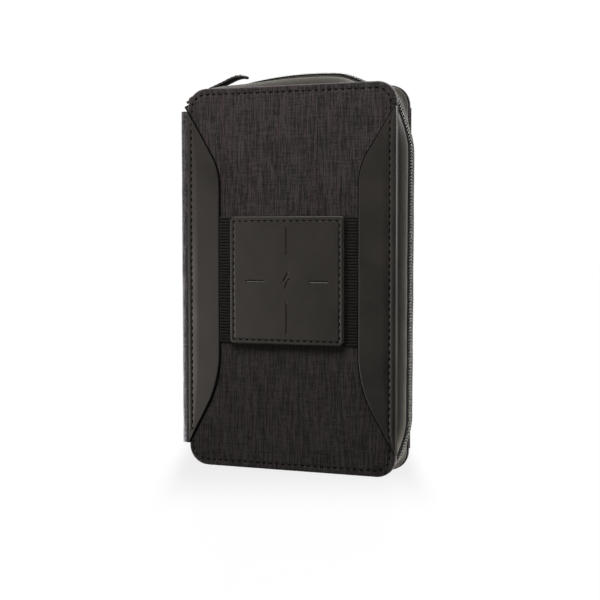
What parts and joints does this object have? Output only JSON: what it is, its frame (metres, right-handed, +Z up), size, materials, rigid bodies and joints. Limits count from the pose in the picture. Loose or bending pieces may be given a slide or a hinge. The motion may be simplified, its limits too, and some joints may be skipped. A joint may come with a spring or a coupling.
{
  "type": "travel document organizer",
  "caption": "Zip-around wallet for travel papers: padded covers on a folding fabric spine, an elastic patch that grips a phone, a power bank and inner pockets.",
  "frame": {"origin": "bottom centre of the whole closed wallet, which stands on its bottom edges", "axes": "+Z up along the spine, +X from the spine towards the opening side, -Y out of the front cover"},
  "size_m": [0.1446, 0.032, 0.2369],
  "materials": {
    "melange_fabric": "charcoal melange plain weave",
    "black_leather": "matte smooth synthetic leather",
    "patch_leather": "matte smooth synthetic leather with debossed lines",
    "elastic_webbing": "ribbed woven elastic",
    "gusset_fabric": "dense dark woven cloth",
    "zip_tape": "black woven zip tape",
    "zip_coil": "dark nylon coil",
    "gunmetal": "gunmetal plated zinc",
    "lining_cloth": "plain lining cloth",
    "greyboard": "pressed board",
    "foam": "thin foam",
    "bank_plastic": "fine textured moulding",
    "cell_wrap": "silvery pouch film",
    "copper": "enamelled copper winding",
    "ferrite": "flexible ferrite sheet",
    "circuit_green": "solder mask",
    "steel": "nickel plated",
    "lens_plastic": "frosted clear plastic"
  },
  "bodies": {
    "rear_cover": {"rear_fabric_skin": "melange_fabric", "rear_leather_left": "black_leather", "rear_leather_right": "black_leather", "rear_board": "greyboard", "rear_lining": "lining_cloth", "rear_gusset": "gusset_fabric", "rear_zip_tape": "zip_tape", "rear_zip_coil": "zip_coil", "rear_zip_stop_top": "gunmetal", "rear_zip_stop_bottom": "gunmetal", "rear_spine_strip": "melange_fabric", "boarding_pass_pocket": "lining_cloth", "card_slot_1": "lining_cloth", "card_slot_2": "lining_cloth", "card_slot_3": "lining_cloth", "card_slot_4": "lining_cloth", "pen_loop": "elastic_webbing", "coin_pouch": "lining_cloth", "coin_zip_tape_lower": "zip_tape", "coin_zip_tape_upper": "zip_tape", "coin_zip_coil_lower": "zip_coil", "coin_zip_coil_upper": "zip_coil"},
    "spine": {"spine_fabric": "melange_fabric", "spine_stiffener": "greyboard", "spine_lining": "lining_cloth"},
    "front_cover": {"front_fabric_skin": "melange_fabric", "front_leather_left": "black_leather", "front_leather_right": "black_leather", "front_board": "greyboard", "front_lining": "lining_cloth", "front_gusset": "gusset_fabric", "front_zip_tape": "zip_tape", "front_zip_coil": "zip_coil", "front_zip_stop_top": "gunmetal", "front_zip_stop_bottom": "gunmetal", "front_spine_strip": "melange_fabric", "elastic_band_left": "elastic_webbing", "elastic_band_right": "elastic_webbing", "power_bank_pocket": "lining_cloth", "passport_pocket": "lining_cloth", "bank_outer_shell": "bank_plastic", "bank_inner_shell": "bank_plastic", "battery_cell": "cell_wrap", "charging_coil": "copper", "ferrite_sheet": "ferrite", "circuit_board": "circuit_green", "usb_port": "steel", "button_switch": "bank_plastic", "indicator_lens": "lens_plastic"},
    "charging_patch": {"patch_leather": "patch_leather", "patch_padding": "foam", "patch_backing": "black_leather", "elastic_band_middle": "elastic_webbing"},
    "power_button": {"power_button": "bank_plastic"},
    "zip_slider": {"zip_slider": "gunmetal"},
    "zip_pull": {"pull_link": "gunmetal", "pull_tab": "black_leather"},
    "coin_slider": {"coin_zip_slider": "gunmetal"},
    "coin_pull": {"coin_zip_pull": "gunmetal"}
  },
  "joints": [
    {"name": "spine_fold", "type": "hinge", "parent": "rear_cover", "child": "spine", "pos_m": [-0.07167, 0.01265, 0.114], "axis": [0, 0, -1], "range_deg": [0, 90]},
    {"name": "cover_fold", "type": "hinge", "parent": "spine", "child": "front_cover", "pos_m": [-0.07167, -0.01055, 0.114], "axis": [0, 0, -1], "range_deg": [0, 90]},
    {"name": "patch_lift", "type": "slide", "parent": "front_cover", "child": "charging_patch", "axis": [0, -1, 0], "range_m": [0, 0.011], "stiffness_N_per_m": 300, "springref_m": -0.002, "deforming": ["elastic_band_left", "elastic_band_right"]},
    {"name": "power_button_press", "type": "slide", "parent": "front_cover", "child": "power_button", "axis": [0, -1, 0], "range_m": [0, 0.0005], "stiffness_N_per_m": 1500, "springref_m": -0.0003},
    {"name": "zip_run", "type": "hinge", "parent": "rear_cover", "child": "zip_slider", "pos_m": [0.01293, 0.00105, 0.0099], "axis": [0, 1, 0], "range_deg": [0, 22]},
    {"name": "pull_swing", "type": "hinge", "parent": "zip_slider", "child": "zip_pull", "pos_m": [-0.06786, 0.00105, 0.2238], "axis": [0, -1, 0], "range_deg": [0, 150]},
    {"name": "coin_zip_run", "type": "slide", "parent": "rear_cover", "child": "coin_slider", "axis": [1, 0, 0], "range_m": [0, 0.06]},
    {"name": "coin_pull_swing", "type": "hinge", "parent": "coin_slider", "child": "coin_pull", "pos_m": [-0.03507, 0.00635, 0.09835], "axis": [0, 0, -1], "range_deg": [0, 20]}
  ],
  "couplings": [
    {"joint": "cover_fold", "follows": "spine_fold", "ratio": 1}
  ]
}
